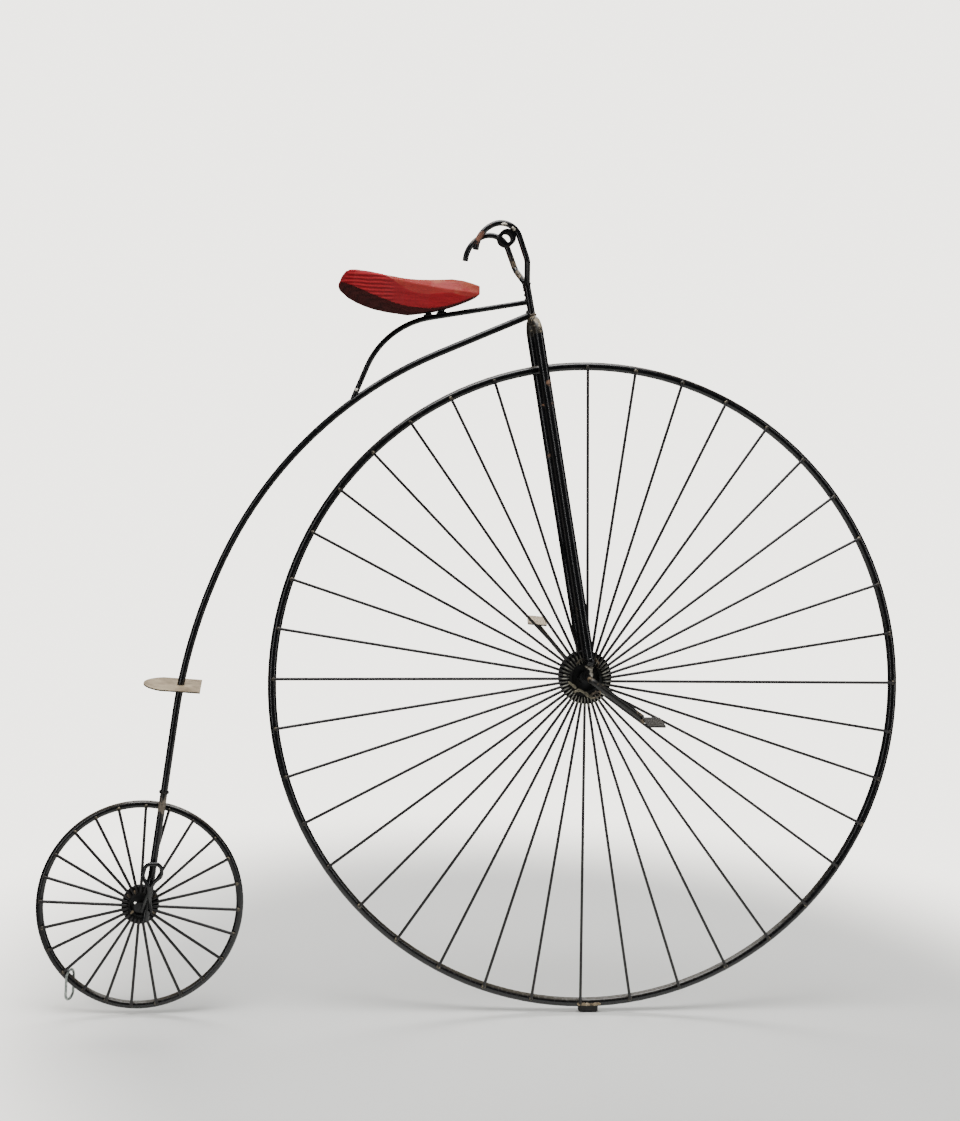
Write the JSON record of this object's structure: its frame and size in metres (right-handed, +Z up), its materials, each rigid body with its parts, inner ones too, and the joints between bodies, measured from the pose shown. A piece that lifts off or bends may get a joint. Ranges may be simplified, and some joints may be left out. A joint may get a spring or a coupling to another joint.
{
  "type": "penny farthing bicycle ornament",
  "caption": "Welded rod ornament of a penny farthing bicycle with wire-spoked wheels that turn, curved backbone, bent handlebars and a carved wooden saddle.",
  "frame": {"origin": "middle of the saddle's top, where a rider figure sits", "axes": "+X towards the front of the bicycle, +Z up, -Y towards the side with the single stay"},
  "size_m": [0.9615, 0.1105, 0.8747],
  "materials": {
    "black_rod": "black brushed enamel over welded mild steel rod",
    "worn_rod": "black enamel rubbed through to brazed brown metal",
    "bare_plate": "tarnished tan sheet steel",
    "painted_wood": "carved softwood, thin red paint worn at the edges",
    "bright_wire": "galvanised wire"
  },
  "bodies": {
    "frame": {"backbone": "black_rod", "step_plate": "bare_plate", "steering_stem": "black_rod", "fork_crown": "worn_rod", "fork_leg_near": "black_rod", "fork_leg_far": "black_rod", "hanger_near": "worn_rod", "hanger_far": "worn_rod", "handlebar_near": "worn_rod", "handlebar_far": "worn_rod", "handlebar_ring": "black_rod", "seat_spring": "black_rod", "seat_pegs": "black_rod", "saddle": "painted_wood", "stay_collar": "black_rod", "rear_dropout": "black_rod", "rear_axle": "black_rod", "wire_eye": "black_rod"},
    "front_wheel": {"front_axle": "black_rod", "front_hub": "black_rod", "front_spokes": "black_rod", "front_rim": "black_rod", "rim_joint": "black_rod", "crank_near": "black_rod", "crank_far": "black_rod", "pedal_near": "bare_plate", "pedal_far": "bare_plate"},
    "rear_wheel": {"rear_hub": "black_rod", "rear_spokes": "black_rod", "rear_rim": "black_rod", "rim_clip": "bright_wire"}
  },
  "joints": [
    {"name": "front_wheel_spin", "type": "hinge", "parent": "frame", "child": "front_wheel", "pos_m": [0.2104, 0, -0.4376], "axis": [0, 1, 0], "continuous": true},
    {"name": "rear_wheel_spin", "type": "hinge", "parent": "frame", "child": "rear_wheel", "pos_m": [-0.275, 0, -0.691], "axis": [0, 1, 0], "continuous": true}
  ]
}
